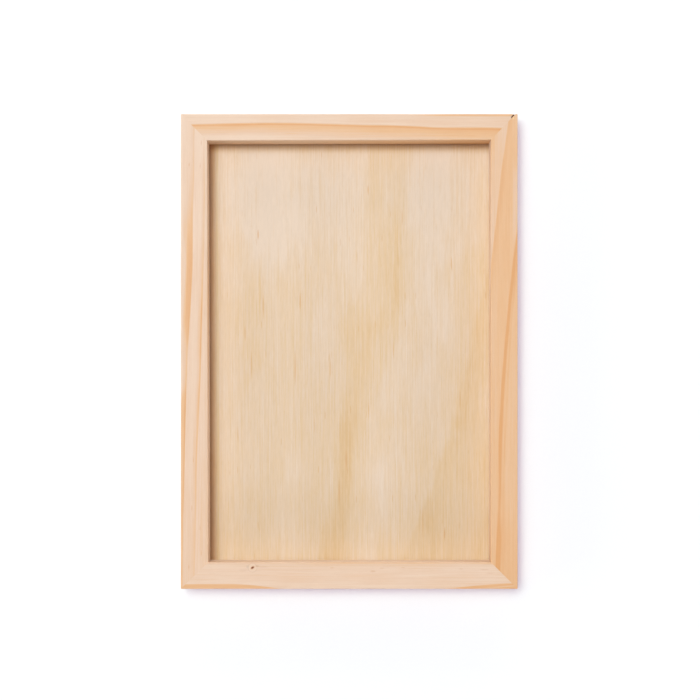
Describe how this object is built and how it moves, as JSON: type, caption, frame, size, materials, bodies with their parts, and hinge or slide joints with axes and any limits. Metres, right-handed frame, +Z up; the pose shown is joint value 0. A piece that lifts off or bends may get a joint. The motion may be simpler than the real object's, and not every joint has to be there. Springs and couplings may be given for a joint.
{
  "type": "wooden panel frame",
  "caption": "Shallow open wooden tray: a raised rim of mitred pine rails around a flat plywood board that closes the underside.",
  "frame": {"origin": "centre of the underside, on the surface that the part rests on", "axes": "+Z up out of the open side; +Y along the long side, towards the rail whose right end has the slightly open mitre; +X towards the right rail, seen from above"},
  "size_m": [0.21, 0.296, 0.02],
  "materials": {
    "pine_rail": "raw sanded pine",
    "plywood_face": "raw sanded rotary-cut veneer",
    "plywood_core": "raw sawn core veneer",
    "nail_steel": "rolled strip steel",
    "pin_steel": "bright steel"
  },
  "bodies": {
    "root": {"left_rail": "pine_rail", "right_rail": "pine_rail", "top_rail": "pine_rail", "bottom_rail": "pine_rail", "inner_veneer": "plywood_face", "core_veneer": "plywood_core", "outer_veneer": "plywood_face", "corner_v_nails": "nail_steel", "panel_pins": "pin_steel"}
  },
  "joints": []
}
